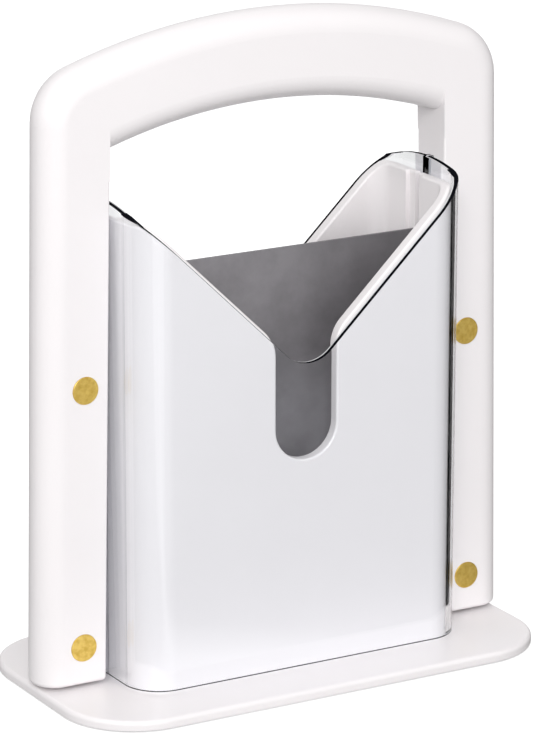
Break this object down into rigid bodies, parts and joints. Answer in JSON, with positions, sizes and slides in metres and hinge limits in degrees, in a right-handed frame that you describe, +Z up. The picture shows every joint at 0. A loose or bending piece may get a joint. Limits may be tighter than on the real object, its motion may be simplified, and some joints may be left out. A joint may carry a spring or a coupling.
{
  "type": "bagel guillotine slicer",
  "caption": "Upright slicer for a bagel: a white cradle on a base plate, and an arched handle with a blade and clear guards that slides down over it.",
  "frame": {"origin": "on the resting plane, under the middle of the object", "axes": "+X to the right along the blade, +Y to the back across the blade, +Z up along the carriage's travel"},
  "size_m": [0.1882, 0.099, 0.235],
  "materials": {
    "white_plastic": "moulded, satin gloss",
    "clear_plastic": "clear, polished",
    "coated_steel": "satin dark non-stick coating",
    "rivet_brass": "worn satin",
    "screw_steel": "zinc plated",
    "foot_rubber": "soft matt"
  },
  "bodies": {
    "holder": {"base_plate": "white_plastic", "front_cradle": "white_plastic", "rear_cradle": "white_plastic", "foot_front_left": "foot_rubber", "foot_front_right": "foot_rubber", "foot_rear_left": "foot_rubber", "foot_rear_right": "foot_rubber", "cradle_screw_front_left": "screw_steel", "cradle_screw_front_right": "screw_steel", "cradle_screw_rear_left": "screw_steel", "cradle_screw_rear_right": "screw_steel"},
    "carriage": {"handle_frame": "white_plastic", "blade": "coated_steel", "front_shield": "clear_plastic", "rear_shield": "clear_plastic", "rivet_post_upper_left": "rivet_brass", "rivet_post_upper_right": "rivet_brass", "rivet_post_lower_left": "rivet_brass", "rivet_post_lower_right": "rivet_brass", "rivet_barrel_upper_left": "rivet_brass", "rivet_barrel_upper_right": "rivet_brass", "rivet_barrel_lower_left": "rivet_brass", "rivet_barrel_lower_right": "rivet_brass"}
  },
  "joints": [
    {"name": "blade_carriage_slide", "type": "slide", "parent": "holder", "child": "carriage", "axis": [0, 0, 1], "range_m": [0, 0.17]}
  ]
}
